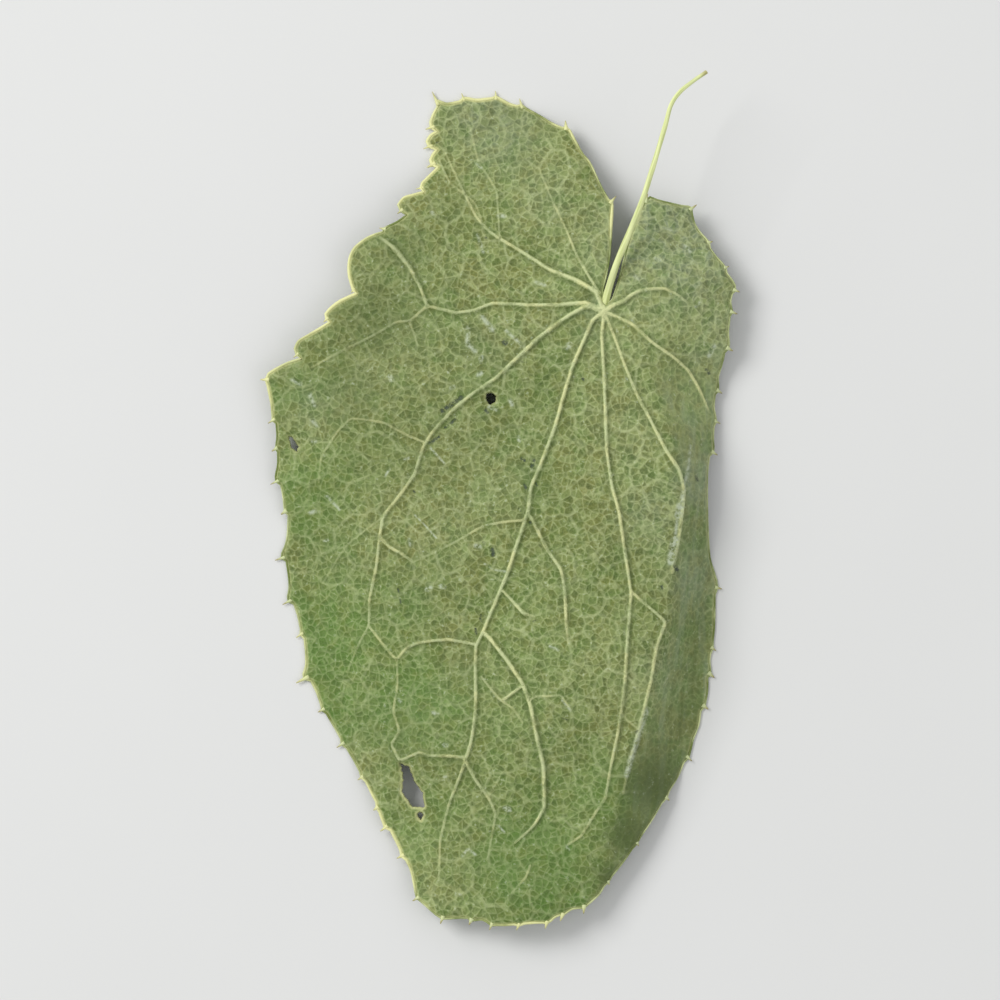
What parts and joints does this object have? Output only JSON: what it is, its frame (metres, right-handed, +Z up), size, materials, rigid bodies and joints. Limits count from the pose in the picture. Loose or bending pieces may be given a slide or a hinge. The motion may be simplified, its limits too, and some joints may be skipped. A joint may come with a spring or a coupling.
{
  "type": "dried horny goat weed",
  "caption": "Dried leaflet with a heart-shaped base, a slanting tip, a spiny edge, raised veins and net, one side folded down, and a thin pale stalk.",
  "frame": {"origin": "the middle of the leaf's plan, on the surface that it lies on", "axes": "+Z up from that surface, with the leaf's upper face up; +Y from the blade's tip towards the stalk; +X to the right seen from above, towards the side that is folded down"},
  "size_m": [0.032, 0.057, 0.0053],
  "materials": {
    "blade": "matte",
    "stalk": "matte"
  },
  "bodies": {
    "root": {"blade": "blade", "stalk": "stalk"}
  },
  "joints": []
}
